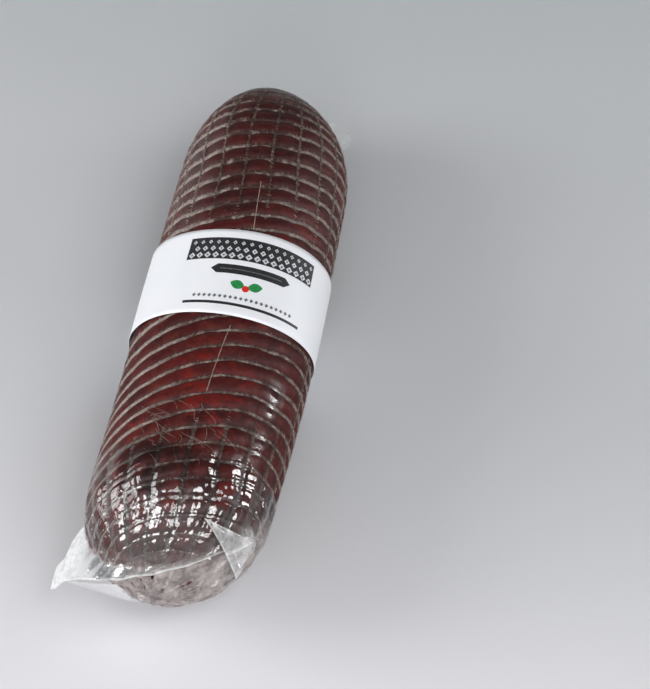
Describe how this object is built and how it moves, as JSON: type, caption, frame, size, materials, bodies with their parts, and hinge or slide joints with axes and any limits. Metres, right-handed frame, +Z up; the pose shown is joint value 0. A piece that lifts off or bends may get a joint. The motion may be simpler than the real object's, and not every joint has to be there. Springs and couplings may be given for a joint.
{
  "type": "vacuum-packed bresaola",
  "caption": "Whole air-dried beef bar with domed ends, tied in a net and sealed in clear shrunk film with crumpled end seams, with a plain paper label band round its middle.",
  "frame": {"origin": "on the ground under the middle of the pack's box, half way between the meat's two tips", "axes": "+Y along the meat towards its far, slightly thinner end, +Z up through the label's face, +X to the right seen from the near end"},
  "size_m": [0.1326, 0.384, 0.1125],
  "materials": {
    "vacuum_pack": "gloss",
    "label_paper": "satin"
  },
  "bodies": {
    "root": {"vacuum_pack": "vacuum_pack", "label_band": "label_paper"}
  },
  "joints": []
}
